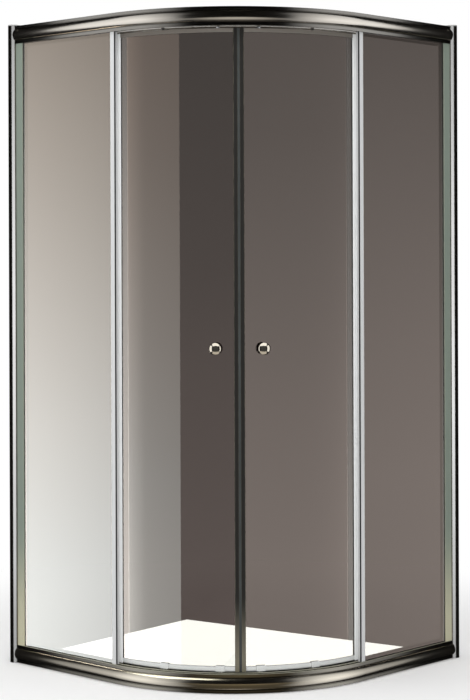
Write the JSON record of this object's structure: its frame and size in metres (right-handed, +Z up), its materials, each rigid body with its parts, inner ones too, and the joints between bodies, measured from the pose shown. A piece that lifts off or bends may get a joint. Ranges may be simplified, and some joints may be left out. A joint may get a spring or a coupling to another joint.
{
  "type": "corner shower enclosure",
  "caption": "Quadrant corner shower enclosure: bronze rails and posts, flat fixed glass panels and curved sliding glass doors on rollers, with round knobs.",
  "frame": {"origin": "middle of the square plan, at floor level", "axes": "+Z up; the walls are the planes x = -0.455 and y = +0.455; the doors face +X -Y"},
  "size_m": [0.91, 0.91, 1.8],
  "materials": {
    "bronze_metal": "polished bronze anodised",
    "smoked_glass": "smoke tint, polished",
    "white_vinyl": "smooth white",
    "clear_vinyl": "clear soft",
    "grey_plastic": "matt grey",
    "black_rubber": "matt black",
    "magnet_strip": "dark vinyl",
    "white_nylon": "satin",
    "polished_knob": "polished",
    "hanger_zinc": "die-cast",
    "steel": "stainless"
  },
  "bodies": {
    "frame": {"bottom_rail": "bronze_metal", "corner_screws": "steel", "door_bumpers": "black_rubber", "left_fixed_glass": "smoked_glass", "left_glazing_gasket": "black_rubber", "left_panel_seal": "white_vinyl", "left_post_cap": "grey_plastic", "left_upright": "bronze_metal", "left_wall_channel": "bronze_metal", "post_screws": "steel", "rail_end_blocks": "grey_plastic", "right_fixed_glass": "smoked_glass", "right_glazing_gasket": "black_rubber", "right_panel_seal": "white_vinyl", "right_post_cap": "grey_plastic", "right_upright": "bronze_metal", "right_wall_channel": "bronze_metal", "top_rail": "bronze_metal"},
    "right_door": {"right_door_carrier": "bronze_metal", "right_door_glass": "smoked_glass", "right_door_stile": "bronze_metal", "right_drip_seal": "clear_vinyl", "right_guide_pins": "steel", "right_guide_shoes": "clear_vinyl", "right_hanger_blocks": "hanger_zinc", "right_hanger_nuts": "steel", "right_hanger_studs": "steel", "right_knob_inner": "polished_knob", "right_knob_outer": "polished_knob", "right_knob_stud": "steel", "right_knob_washers": "clear_vinyl", "right_magnet_strip": "magnet_strip", "right_trailing_seal": "white_vinyl", "right_wheel_axles": "steel"},
    "right_lead_wheels": {"right_lead_wheels": "white_nylon"},
    "right_lead_guide_roller": {"right_lead_guide_roller": "white_nylon"},
    "right_trail_wheels": {"right_trail_wheels": "white_nylon"},
    "right_trail_guide_roller": {"right_trail_guide_roller": "white_nylon"},
    "left_door": {"left_door_carrier": "bronze_metal", "left_door_glass": "smoked_glass", "left_door_stile": "bronze_metal", "left_drip_seal": "clear_vinyl", "left_guide_pins": "steel", "left_guide_shoes": "clear_vinyl", "left_hanger_blocks": "hanger_zinc", "left_hanger_nuts": "steel", "left_hanger_studs": "steel", "left_knob_inner": "polished_knob", "left_knob_outer": "polished_knob", "left_knob_stud": "steel", "left_knob_washers": "clear_vinyl", "left_magnet_strip": "magnet_strip", "left_trailing_seal": "white_vinyl", "left_wheel_axles": "steel"},
    "left_lead_wheels": {"left_lead_wheels": "white_nylon"},
    "left_lead_guide_roller": {"left_lead_guide_roller": "white_nylon"},
    "left_trail_wheels": {"left_trail_wheels": "white_nylon"},
    "left_trail_guide_roller": {"left_trail_guide_roller": "white_nylon"}
  },
  "joints": [
    {"name": "right_door_slide", "type": "hinge", "parent": "frame", "child": "right_door", "pos_m": [-0.0316, 0.03337, 0], "axis": [0, 0, 1], "range_deg": [0, 27]},
    {"name": "right_lead_wheels_spin", "type": "hinge", "parent": "right_door", "child": "right_lead_wheels", "pos_m": [0.31976, -0.24435, 1.7623], "axis": [-0.788, 0.6157, 0], "range_deg": [0, 933]},
    {"name": "right_lead_guide_roller_spin", "type": "hinge", "parent": "right_door", "child": "right_lead_guide_roller", "pos_m": [0.31976, -0.24435, 0.0435], "axis": [0, 0, -1], "range_deg": [0, 2421]},
    {"name": "right_trail_wheels_spin", "type": "hinge", "parent": "right_door", "child": "right_trail_wheels", "pos_m": [0.39109, -0.1102, 1.7623], "axis": [-0.9511, 0.309, 0], "range_deg": [0, 930]},
    {"name": "right_trail_guide_roller_spin", "type": "hinge", "parent": "right_door", "child": "right_trail_guide_roller", "pos_m": [0.39109, -0.1102, 0.0435], "axis": [0, 0, -1], "range_deg": [0, 2413]},
    {"name": "left_door_slide", "type": "hinge", "parent": "frame", "child": "left_door", "pos_m": [-0.03337, 0.0316, 0], "axis": [0, 0, -1], "range_deg": [0, 27]},
    {"name": "left_lead_wheels_spin", "type": "hinge", "parent": "left_door", "child": "left_lead_wheels", "pos_m": [0.24435, -0.31976, 1.7623], "axis": [0.6157, -0.788, 0], "range_deg": [0, 933]},
    {"name": "left_lead_guide_roller_spin", "type": "hinge", "parent": "left_door", "child": "left_lead_guide_roller", "pos_m": [0.24435, -0.31976, 0.0435], "axis": [0, 0, 1], "range_deg": [0, 2421]},
    {"name": "left_trail_wheels_spin", "type": "hinge", "parent": "left_door", "child": "left_trail_wheels", "pos_m": [0.1102, -0.39109, 1.7623], "axis": [0.309, -0.9511, 0], "range_deg": [0, 930]},
    {"name": "left_trail_guide_roller_spin", "type": "hinge", "parent": "left_door", "child": "left_trail_guide_roller", "pos_m": [0.1102, -0.39109, 0.0435], "axis": [0, 0, 1], "range_deg": [0, 2413]}
  ],
  "couplings": [
    {"joint": "right_lead_wheels_spin", "follows": "right_door_slide", "ratio": 34.451},
    {"joint": "right_lead_guide_roller_spin", "follows": "right_door_slide", "ratio": 89.572},
    {"joint": "right_trail_wheels_spin", "follows": "right_door_slide", "ratio": 34.339},
    {"joint": "right_trail_guide_roller_spin", "follows": "right_door_slide", "ratio": 89.281},
    {"joint": "left_lead_wheels_spin", "follows": "left_door_slide", "ratio": 34.451},
    {"joint": "left_lead_guide_roller_spin", "follows": "left_door_slide", "ratio": 89.572},
    {"joint": "left_trail_wheels_spin", "follows": "left_door_slide", "ratio": 34.339},
    {"joint": "left_trail_guide_roller_spin", "follows": "left_door_slide", "ratio": 89.281}
  ]
}
